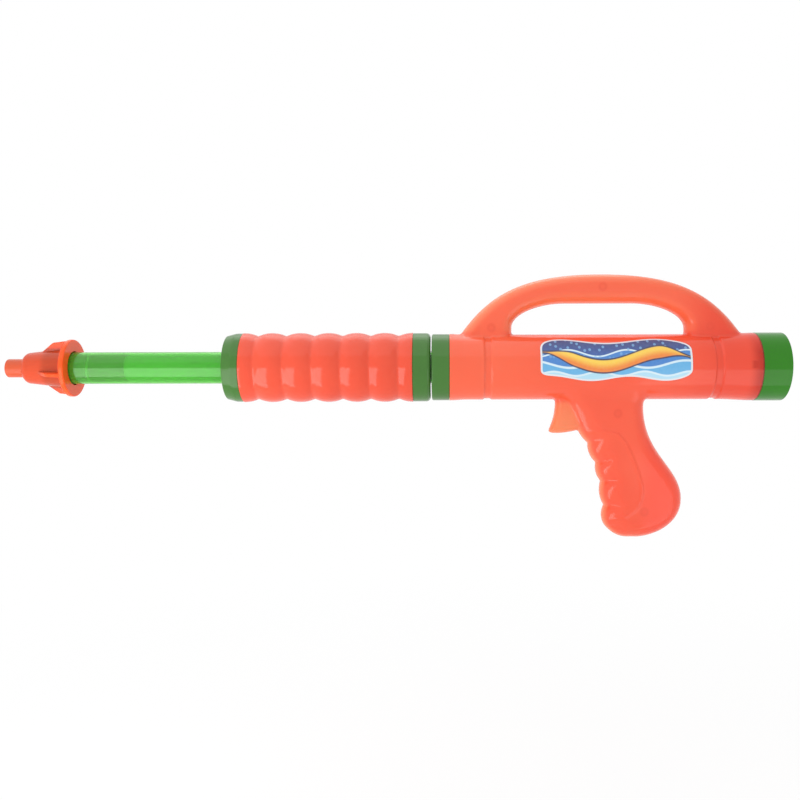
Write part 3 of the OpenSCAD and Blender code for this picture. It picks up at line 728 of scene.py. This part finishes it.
# both shells from one field: its zero surface, drawn in by the wall along the slope, parted at y = 0
def makeShells(material):
    s = shell
    step = (s["rear"] - s["front"]) / s["cells"]
    low = np.array([s["front"] - step / 2, -(s["cellsAcross"] - 1) / 2 * step, s["low"]])
    counts = (s["cells"] + 2, s["cellsAcross"], int(s["height"] / step) + 2)
    xs, ys, zs = (low[i] + step * np.arange(counts[i]) for i in range(3))
    gridX, gridZ = (g.ravel() for g in np.meshgrid(xs, zs, indexing="ij"))
    flat = [f[0].reshape(len(xs), 1, len(zs)) for f in flatFields(gridX, gridZ).values()]
    values = bodyField(xs[:, None, None], ys[None, :, None], zs[None, None, :], *flat)
    points, quads, cell = contour(values, low, step)
    atEnd = (cell[:, 0] == 0) | (cell[:, 0] == s["cells"])
    endX = np.where(cell[:, 0] == 0, s["front"], s["rear"])
    onSeam = np.abs(ys[cell[:, 1]] + step / 2) < hair

    # the end rings stay in the end planes and the parting line stays at y = 0
    def pinned(p):
        x = np.where(atEnd, endX, p[:, 0])
        y = np.where(onSeam, 0, p[:, 1])
        return np.stack([x, y, p[:, 2]], -1)

    points = pinned(points)
    for _ in range(s["passes"]):
        value, slope = fieldAndSlope(points)
        shift = value / np.maximum((slope ** 2).sum(1), s["leastSlope"])
        shift = np.clip(shift, -s["longestShift"], s["longestShift"])
        points = pinned(points - shift[:, None] * slope)
    normal = unit(fieldAndSlope(points)[1])
    quads = quads[~atEnd[quads].all(1)]
    inner = points - s["wall"] * normal
    outer = points - np.where(onSeam, s["seam"], 0)[:, None] * normal
    # the painted glow of the edges, kept per point for the shell material
    thin = thinEdges(points)
    side = points[:, 1][quads].mean(1)
    left = ("bodyShellLeft", "body_shell_left", side < 0)
    right = ("bodyShellRight", "body_shell_right", side > 0)
    for name, node, mine in (left, right):
        used, local = np.unique(quads[mine], return_inverse=True)
        both, faces, corner = walled(outer[used], inner[used], normal[used], local.reshape(-1, 4))
        piece = addPiece(name, both, faces, corner, material, "body", node, "orange_plastic")
        light = piece.data.attributes.new("thin", "FLOAT", "POINT")
        light.data.foreach_set("value", np.tile(thin[used], 2))


green = capGreen()
makeShells(shellPlastic())
print("shells made")

# turned pieces: each corner is (x, radius, corner radius)


# a cap with a bore: its outer edge as given, a plug in what it closes and a hub on the tube, with an open
# groove between; way is 1 where its tail lies towards the rear, else -1
def hubCap(c, face, seat, tail, way, edge):
    floor, lip = face + way * c["wall"], seat - way * c["gap"]
    inside, hub = c["plug"] - c["wall"], c["bore"] + c["wall"]
    return [
        (face, c["bore"], c["boreEdge"]), *edge, (lip, c["outer"], 0.4), (lip, c["plug"], 0.2),
        (tail, c["plug"], 0.3), (tail, inside, 0.3), (floor, inside, 0.5), (floor, hub, 0.5),
        (tail, hub, 0.3), (tail, c["bore"], 0.3)]


collar = {
    "front": -260.9, "seat": -247.8, "tail": -223.1, "outer": 24.8, "plug": 22.3, "bore": 12.2, "wall": 2.0,
    "gap": 0.12, "boreEdge": 0.4, "rim": 1.2,
}


# the front ring plugs the shells and guides the tube
def makeCollar():
    c = collar
    corners = hubCap(c, c["front"], c["seat"], c["tail"], 1, [(c["front"], c["outer"], c["rim"])])
    addTurned("frontCollar", corners, green, "body", "front_collar", "green_cap")


cap = {"seat": -20.8, "tail": -29.0, "outer": 25.5, "plug": 22.3, "wall": 2.0, "rim": 0.5, "gap": 0.12}


# the rear cap: a closed cup with a narrower plug in the shells
def makeRearCap():
    c = cap
    seat, step = c["seat"] + c["gap"], c["seat"] + c["wall"]
    cupInside, plugInside = c["outer"] - c["wall"], c["plug"] - c["wall"]
    corners = [
        (0, 0, 0), (-c["wall"], 0, 0), (-c["wall"], cupInside, 0.6), (step, cupInside, 0.3),
        (step, plugInside, 0.3), (c["tail"], plugInside, 0.3), (c["tail"], c["plug"], 0.3),
        (seat, c["plug"], 0.2), (seat, c["outer"], 0.4), (0, c["outer"], c["rim"])]
    addTurned("rearCap", corners, green, "body", "rear_cap", "green_cap")


makeCollar()
makeRearCap()

foreGrip = {
    "front": -413.4, "sleeveFront": -401.0, "sleeveRear": -275.0, "rear": -261.8, "outer": 25.6,
    "plug": 21.67, "bore": 11.95, "wall": 2.0, "plugLen": 8.0, "gap": 0.15, "boreEdge": 0.3,
    "frontFace": 23.8, "frontTaper": 7.0, "ribs": 6, "ribRadius": 25.88, "ribSteps": 40, "sleeveBore": 21.88,
    "valleySoft": 0.9, "valleyShare": 0.6, "valleyReach": 4.0, "segments": 192,
}


# the sleeve: ball-shaped ribs in a row, radius = sqrt(R^2 - (x - rib middle)^2), softened in the valleys
def sleeveProfile():
    g = foreGrip
    pitch = (g["sleeveRear"] - g["sleeveFront"]) / g["ribs"]
    x = np.linspace(g["sleeveFront"], g["sleeveRear"], g["ribSteps"] * g["ribs"] + 1)
    toValley = pitch / 2 - np.abs((x - g["sleeveFront"] + pitch / 2) % pitch - pitch / 2)
    soft = g["valleySoft"]
    bell = soft * np.exp(-(toValley / g["valleyReach"]) ** 2) * g["valleyShare"]
    off = pitch / 2 - (np.sqrt(toValley ** 2 + soft ** 2) - bell)
    r = np.sqrt(g["ribRadius"] ** 2 - np.clip(off, 0, None) ** 2)
    normal = unit(np.stack([-np.gradient(r, x), np.ones_like(x)], -1))
    ends = np.array([[g["sleeveRear"], g["sleeveBore"]], [g["sleeveFront"], g["sleeveBore"]]])
    profile = np.concatenate([np.stack([x, r], -1), ends])
    return profile[::-1], np.concatenate([normal, [[0, -1.0], [0, -1.0]]])[::-1]


# the fore-grip: a cap at each end of the ribbed sleeve
def makeForeGrip():
    g = foreGrip
    frontEdge = [(g["front"], g["frontFace"], 0.8), (g["front"] + g["frontTaper"], g["outer"], 9.0)]
    front = hubCap(g, g["front"], g["sleeveFront"], g["sleeveFront"] + g["plugLen"], 1, frontEdge)
    addTurned("foregripFrontCap", front, green, "pump", "foregrip_front_cap", "green_cap")
    rearEdge = [(g["rear"], g["outer"], 3.2)]
    rear = hubCap(g, g["rear"], g["sleeveRear"], g["sleeveRear"] - g["plugLen"], -1, rearEdge)
    addTurned("foregripRearCap", rear, green, "pump", "foregrip_rear_cap", "green_cap")
    orange = moulded("sleeveOrange", orangeLook, orangeTones["sleeve"]).owner
    sleeve = lathe(*sleeveProfile(), g["segments"])
    addSmooth("foregripSleeve", *sleeve, orange, "pump", "foregrip_sleeve", "orange_plastic")


makeForeGrip()

tube = {"front": -545.2, "rear": -59.9, "outer": 11.9, "bore": 10.6, "segments": 128}


# the pump tube: a plain wall with eased ends
def makeTube(material):
    t = tube
    corners = [(t["front"], t["bore"], 0.3), (t["front"], t["outer"], 0.4),
               (t["rear"], t["outer"], 0.4), (t["rear"], t["bore"], 0.3)]
    addTurned("pumpCylinder", corners, material, "pump", "pump_cylinder", "clear_green",
              segments=t["segments"])


makeTube(moulded("tubeGreen", tubeLook, tubeLook["tones"]).owner)

nozzle = {
    "front": -578.5, "shoulder": -565.5, "coneFront": -560.5, "flangeFront": -532.4, "flangeRear": -528.7,
    "tip": 6.9, "jet": 1.6, "coneSmall": 11.7, "coneLarge": 15.0, "flange": 21.4, "mouth": 12.5,
    "mouthLen": 2.4, "socketStart": 3.0, "socket": 11.95, "floor": -545.25, "throat": 9.6, "throatLen": 4.0,
    "jetLead": 2.0, "shoulderSteps": 9, "shoulderStart": 0.12, "shoulderRound": 0.6, "segments": 144,
    "fins": 4, "finTurn": 18.0, "finStart": -552.55, "finCorner": -542.4, "finReach": 20.9, "finFall": 1.3,
    "finFoot": 11.6, "finRise": 1.4, "finSink": 0.5, "finHalf": 1.2, "finEdge": 0.4,
    "finSteps": 13, "finArcSteps": 6,
}


# a fin: its outline in (x, r) carried across its thickness, drawn in along its normals near the side faces
def finMesh(turn):
    n = nozzle
    root = n["flangeFront"] + n["finSink"]
    ring, outward = filleted([
        (n["finStart"], n["finFoot"], 0.5), (root, n["finFoot"] + n["finRise"], 0.5),
        (root, n["finReach"], 0.5), (n["finCorner"], n["finReach"] - n["finFall"], 1.2)], n["finArcSteps"])
    edge = n["finEdge"]
    lean = np.linspace(-np.pi / 2, np.pi / 2, n["finSteps"])
    across = np.sign(lean) * (n["finHalf"] - edge) + edge * np.sin(lean)
    inset = edge * (1 - np.cos(lean))
    flat = ring[None] - outward[None] * inset[:, None, None]

    def withDepth(plane, depth):
        return np.concatenate([plane, np.broadcast_to(depth[:, None, None], flat.shape[:2] + (1,))], -1)

    rows = withDepth(flat, across)
    normal = withDepth(outward[None] * np.cos(lean)[:, None, None], np.sin(lean))
    count = len(ring)
    i, j = np.arange(len(rows) - 1)[:, None] * count, np.arange(count)[None, :]
    ahead = np.roll(j, -1, axis=1)
    faces = np.stack([i + j, i + count + j, i + count + ahead, i + ahead], -1).reshape(-1, 4).tolist()
    faces += [list(range(count)), list(range((len(rows) - 1) * count, len(rows) * count))[::-1]]
    c, s = math.cos(math.radians(turn)), math.sin(math.radians(turn))

    def placed(p):
        x, r, y = p[..., 0], p[..., 1], p[..., 2]
        return np.stack([x, y * c - r * s, y * s + r * c], -1).reshape(-1, 3)

    return placed(rows), faces, placed(normal)


# the nozzle: a turned tip, an elliptic shoulder, a cone, a flange and a stepped socket, and fins on the cone
def makeNozzle(material):
    n = nozzle
    a = np.linspace(n["shoulderStart"], np.pi / 2, n["shoulderSteps"])
    shoulderX = n["shoulder"] + (n["coneFront"] - n["shoulder"]) * (1 - np.cos(a))
    shoulderR = n["tip"] + (n["coneSmall"] - n["tip"]) * np.sin(a)
    shoulder = np.stack([shoulderX, shoulderR, np.full(len(a), n["shoulderRound"])], -1)
    corners = [
        (n["front"], n["jet"], 0.4), (n["front"], n["tip"], 0.8), (n["shoulder"], n["tip"], 0.25),
        *shoulder.tolist(),
        (n["flangeFront"], n["coneLarge"], 1.2), (n["flangeFront"], n["flange"], 1.0),
        (n["flangeRear"], n["flange"], 1.0), (n["flangeRear"], n["mouth"], 0.4),
        (n["flangeRear"] - n["mouthLen"], n["mouth"], 0.3),
        (n["flangeRear"] - n["socketStart"], n["socket"], 0.2),
        (n["floor"], n["socket"], 0.1), (n["floor"], n["throat"], 0.3),
        (n["floor"] - n["throatLen"], n["throat"], 0.5), (n["shoulder"] + n["jetLead"], n["jet"], 0.5)]
    parts = [lathe(*filleted(corners), n["segments"])]
    parts += [finMesh(n["finTurn"] + 360 / n["fins"] * i) for i in range(n["fins"])]
    addSmooth("finnedNozzle", *stacked(parts), material, "pump", "nozzle", "orange_plastic")


makeNozzle(nozzlePlastic())
print("turned pieces made")

# case screws

screw = {
    "seat": 5.0, "head": 1.9, "tip": -7.0, "tipLen": 1.5, "radius": 2.6, "shank": 1.4, "dome": 0.45,
    "domeReach": 2.2, "domeEdge": (0.62, 2.48), "rimDrop": 0.95, "rimFoot": 0.3, "rimEase": 0.15,
    "slotHalf": 0.42, "slotReach": 1.75, "slotDepth": 1.0, "slotSide": 0.14, "slotEnd": 0.3, "slotZone": 0.6,
    "turn": 1.1, "domeSteps": 23, "segments": 96,
}


# a domed head and shank turned about y, with a cross sunk into the dome, whose arms fade at sides and ends
def makeScrews(material):
    s = screw
    top, seat = s["seat"] + s["head"], s["seat"]
    r = np.linspace(0, s["domeReach"], s["domeSteps"])
    side = [
        (top - s["domeEdge"][0], s["domeEdge"][1]), (top - s["rimDrop"], s["radius"]),
        (seat + s["rimFoot"], s["radius"]), (seat, s["radius"] - s["rimEase"]), (seat, s["shank"]),
        (s["tip"] + s["tipLen"], s["shank"]), (s["tip"], 0)]
    profile = np.concatenate([np.stack([top - s["dome"] * (r / s["radius"]) ** 2, r], -1), side])
    points, faces, _ = lathe(profile, np.zeros_like(profile), s["segments"])
    axial, a, b = points.T

    def arm(p, q):
        sides = easeStep((s["slotHalf"] - np.abs(p)) / s["slotSide"] + 0.5)
        return sides * easeStep((s["slotReach"] - np.abs(q)) / s["slotEnd"] + 0.5)

    axial = axial - s["slotDepth"] * np.maximum(arm(a, b), arm(b, a)) * (axial > top - s["slotZone"])
    parts = []
    for k, (bossX, bossZ) in enumerate(bosses):
        c, d = math.cos(s["turn"] * k), math.sin(s["turn"] * k)
        placed = np.stack([bossX - (a * c - b * d), axial, bossZ + a * d + b * c], -1)
        parts.append((placed, faces, np.zeros((0, 3))))
    points, faces, _ = stacked(parts)
    addSmooth("caseScrews", points, faces, None, material, "body", "case_screws", "screw_steel")


makeScrews(moulded("screwSteel", screwLook, screwLook["tones"]).owner)

# side label

label = {
    "left": -182.2, "right": -72.2, "middle": 4.4, "half": 15.5, "inner": 24.46, "outer": 24.57,
    "steps": (201, 49), "inset": 0.001, "squareness": 7, "swing": 0.10, "topWave": (9.4, 0.6),
    "lowWave": (12.6, 3.6),
}
# heights and widths are shares of half the label; a wave is height, swing, rate, start, tone and foam width
labelLook = {
    "border": (1.45, 1.2), "borderTone": (226, 230, 236), "foamTone": (214, 236, 246),
    "skyRange": (-0.2, 1.0), "skyLow": (44, 96, 176), "skyTop": (26, 48, 118),
    "waves": ((0.30, 0.16, 8.0, 0.4, (58, 128, 204), 0.05), (-0.22, 0.17, 6.2, 2.2, (96, 176, 226), 0.07),
              (-0.66, 0.10, 10.5, 4.0, (176, 222, 242), 0.06)),
    "waveEdge": (0.02, -0.02),
    "dropScale": 190.0, "dropSize": (0.21, 0.17), "dropRange": (-0.1, 0.3, 0.0, 0.7),
    "dropTone": (120, 176, 224),
    "ribbon": (0.02, 0.34, 3.9, -0.9), "ribbonWidth": (0.55, 0.95, 0.27, 0.0), "ribbonShade": (-0.2, 0.2),
    "ribbonLow": (240, 132, 40), "ribbonTop": (252, 208, 74), "ribbonEdge": (0.03, -0.02),
    "outline": (0.10, 0.05), "outlineTone": (34, 34, 74),
    "grainScale": 500.0, "grainDepth": 0.00002, "grain": 0.3, "rough": (0.3, 0.7, 0.3, 0.38),
    "fade": 0.08, "fadeTone": (255, 255, 255),
}


# glossy film with a water scene: wave layers, foam lines, spray drops and a sunny ribbon in a white border
def labelFilm():
    look = labelLook
    board = newBoard("labelFilm")
    board.marks = look
    x, z = board.axes()[::2]
    middleX, halfX = (label["left"] + label["right"]) / 2 * mm, (label["right"] - label["left"]) / 2 * mm
    u = board.times(board.minus(x, middleX), 1 / halfX)
    v = board.times(board.minus(z, label["middle"] * mm), 1 / (label["half"] * mm))

    def above(height, swing, rate, start):
        wave = board.math("SINE", board.math("MULTIPLY_ADD", u, rate, start))
        return board.minus(v, board.math("MULTIPLY_ADD", wave, swing, height))

    board.colour = board.blend(board.zone((v, "skyRange")), look["skyLow"], look["skyTop"])
    for height, swing, rate, start, tone, foam in look["waves"]:
        line = above(height, swing, rate, start)
        board.paint(board.zone((line, "waveEdge")), tone)
        board.paint(board.ramp(board.off(line, 0.0), foam, foam * 0.5), look["foamTone"])
    flat = board.add("ShaderNodeCombineXYZ")
    board.put(flat.inputs[0], x)
    board.put(flat.inputs[1], z)
    cells = board.add("ShaderNodeTexVoronoi", voronoi_dimensions="2D")
    board.put(cells.inputs["Vector"], flat.outputs[0])
    cells.inputs["Scale"].default_value = look["dropScale"]
    board.paint(board.zone((cells.outputs["Distance"], "dropSize"), (v, "dropRange")), look["dropTone"])
    ribbon = above(*look["ribbon"])
    slack = board.minus(board.off(ribbon, 0.0), board.zone((board.off(u, 0.0), "ribbonWidth")))
    board.paint(board.zone((slack, "outline")), look["outlineTone"])
    sunny = board.blend(board.zone((ribbon, "ribbonShade")), look["ribbonLow"], look["ribbonTop"])
    board.paint(board.zone((slack, "ribbonEdge")), sunny)
    grain = board.noise(look["grainScale"], cloudDetail)
    board.paint(board.times(grain, look["fade"]), look["fadeTone"])
    board.paint(board.zone((board.attribute("edge"), "border")), look["borderTone"])
    board.bump(grain, look["grainDepth"], look["grain"])
    board.set(Base_Color=board.colour, Roughness=board.ramp(grain, *look["rough"]))
    return board.owner


# the label lies on the tube between two slow waves that close in at both ends as a squared ellipse
def makeLabel(material):
    s = label
    along, up = s["steps"]
    u = s["inset"] + (1 - 2 * s["inset"]) * (1 - np.cos(np.linspace(0, np.pi, along))) / 2
    close = (1 - np.abs(2 * u - 1) ** s["squareness"]) ** (1 / s["squareness"])

    def reach(rate, start):
        return s["half"] * close * (1 - s["swing"] + s["swing"] * np.sin(rate * u + start))

    top, low = s["middle"] + reach(*s["topWave"]), s["middle"] - reach(*s["lowWave"])
    v = np.linspace(0, 1, up)
    x = np.repeat((s["left"] + (s["right"] - s["left"]) * u)[:, None], up, 1)
    lean = np.arcsin((low[:, None] + (top - low)[:, None] * v) / s["outer"])
    normal = np.stack([0 * x, -np.cos(lean), np.sin(lean)], -1).reshape(-1, 3)
    line = np.stack([x, 0 * x, 0 * x], -1).reshape(-1, 3)
    i, j = np.meshgrid(np.arange(along - 1), np.arange(up - 1), indexing="ij")
    a = (i * up + j).ravel()
    face = np.stack([a, a + up, a + up + 1, a + 1], -1)
    both, faces, corner = walled(line + s["outer"] * normal, line + s["inner"] * normal, normal, face)
    piece = addPiece("sideLabel", both, faces, corner, material, "body", "side_label", "label_film")
    flat = np.stack([x.ravel(), np.arcsin(normal[:, 2]) * s["outer"]], -1)
    grid = flat.reshape(along, up, 2)
    loop = np.concatenate([grid[:-1, 0], grid[-1, :-1], grid[:0:-1, -1], grid[0, :0:-1]])
    depth = np.tile(-ringDistance(flat[:, 0], flat[:, 1], loop)[0], 2)
    piece.data.attributes.new("edge", "FLOAT", "POINT").data.foreach_set("value", depth)


makeLabel(labelFilm())

# pieces that stay as the frame has them

white = moulded("whiteMoulding", innerLook, innerLook["white"]).owner
grey = moulded("greyMoulding", innerLook, innerLook["grey"]).owner
rubber = moulded("sealRubber", sealLook, sealLook["tones"]).owner
innerLooks = {
    "rod_anchor": white, "piston_rod": white, "cylinder_stop_disc": white, "piston_seal": rubber,
    "piston_head": grey,
}
for name, material in innerLooks.items():
    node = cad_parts[name]
    node.data.materials.clear()
    node.data.materials.append(material)
print("inner pieces finished")

# stage

stageLook = {
    "floor": -0.33, "table": (-3.0, -0.08, 3.0, 4.0), "floorTone": 0.94, "floorRough": 0.9,
    "middleX": -0.25, "glow": (0.15, 0.9, 0.8, 1.0),
    "room": 0.88, "dimFrom": (0.1, 0.35), "dimShare": 0.57, "wings": 0.95, "rightWing": (0.7, 0.85),
    "leftWing": (-0.5, -0.7), "backdrop": 1.0, "backdropFrom": (0.72, 0.81),
}


# a pale floor that takes the shadow; to a ray that looks at or mirrors it, it goes over to white further out
def studioFloor():
    s = stageLook
    left, front, right, back = s["table"]
    mesh = bpy.data.meshes.new("floor")
    corners = ((left, front), (right, front), (right, back), (left, back))
    mesh.from_pydata([(x, y, s["floor"]) for x, y in corners], [], [(0, 1, 2, 3)])
    floor = bpy.data.objects.new("floor", mesh)
    bpy.context.scene.collection.objects.link(floor)
    board = newBoard("paleFloor")
    x, y = board.axes()[:2]
    glow = board.ramp(board.radius(board.minus(x, s["middleX"]), y), *s["glow"])
    light = board.add("ShaderNodeEmission")
    mix = board.add("ShaderNodeMixShader")
    board.set(Base_Color=(s["floorTone"],) * 3 + (1,), Roughness=s["floorRough"], Specular_IOR_Level=0.0)
    board.put(mix.inputs[0], board.times(glow, board.seen()))
    board.put(mix.inputs[1], board.shader.outputs[0])
    board.put(mix.inputs[2], light.outputs[0])
    board.put(board.tree.nodes["Material Output"].inputs["Surface"], mix.outputs[0])
    mesh.materials.append(board.owner)


# white all round to a ray that looks at, mirrors or looks through it; as light it is a backdrop behind the
# table, pale wings left and right, and a room that is dimmer to the right
def studioWorld():
    s = stageLook
    world = bpy.data.worlds.new("studio")
    bpy.context.scene.world = world
    board = Board(world, "Background", "Generated")
    x, y = board.axes()[:2]
    room = board.ramp(x, *s["dimFrom"], s["room"], s["dimShare"] * s["room"])
    rightWing = board.ramp(x, *s["rightWing"], 0, s["wings"])
    leftWing = board.ramp(x, *s["leftWing"], 0, s["wings"])
    wings = board.math("ADD", rightWing, leftWing)
    lit = board.most(board.most(room, wings), board.ramp(y, *s["backdropFrom"], 0, s["backdrop"]))
    seen = board.seen()
    strength = board.math("ADD", board.times(lit, board.minus(1.0, seen)), seen)
    board.set(Color=(1, 1, 1, 1), Strength=strength)


# soft boxes: place and aim in metres, then size and power
lamps = {
    "topSoft": ((-0.3, 0.6, 1.2), (-0.3, 0, 0), (1.0, 0.6), 1.2),
    "ceiling": ((-0.55, -0.1, 0.85), (-0.55, -0.1, 0), (1.4, 2.1), 5.0),
    "leftPanel": ((-0.60, -0.27, -0.18), (-0.60, 0.06, 0.12), (0.31, 0.42), 1.05),
    "lowRight": ((0.12, -0.27, -0.22), (0.12, 0.06, 0.08), (0.30, 0.36), 0.32),
}


# a lamp turned from its place towards its aim, hidden from the camera
def softBox(name, place, aim, size, power):
    lamp = bpy.data.lights.new(name, "AREA")
    lamp.shape = "RECTANGLE"
    lamp.size, lamp.size_y = size
    lamp.energy = power
    box = bpy.data.objects.new(name, lamp)
    bpy.context.scene.collection.objects.link(box)
    away = np.array(place) - np.array(aim)
    yaw = math.atan2(away[0], -away[1])
    pitch = math.atan2(math.hypot(away[0], away[1]), away[2])
    box.visible_camera = False
    box.location = place
    box.rotation_euler = (pitch, 0, yaw)


# focal length and middle are in pixels of a frame 800 wide
cameraLook = {
    "place": (-0.2518, -0.634, -0.02457), "roll": 0.0024, "focal": 845.0, "middleX": 444.2, "frame": 800,
    "sensor": 36.0, "nearest": 0.01,
}


# the camera looks level along y, turned slightly about its own axis
def addCamera():
    c = cameraLook
    camera = bpy.data.cameras.new("camera")
    camera.sensor_width = c["sensor"]
    camera.lens = c["sensor"] * c["focal"] / c["frame"]
    camera.shift_x = (c["frame"] / 2 - c["middleX"]) / c["frame"]
    camera.clip_start = c["nearest"]
    eye = bpy.data.objects.new("camera", camera)
    eye.location = c["place"]
    eye.rotation_euler = (math.pi / 2, c["roll"], 0)
    bpy.context.scene.collection.objects.link(eye)
    bpy.context.scene.camera = eye


studioFloor()
studioWorld()
for name, lamp in lamps.items():
    softBox(name, *lamp)
addCamera()
bpy.context.scene.view_settings.view_transform = "Standard"
print("stage made")
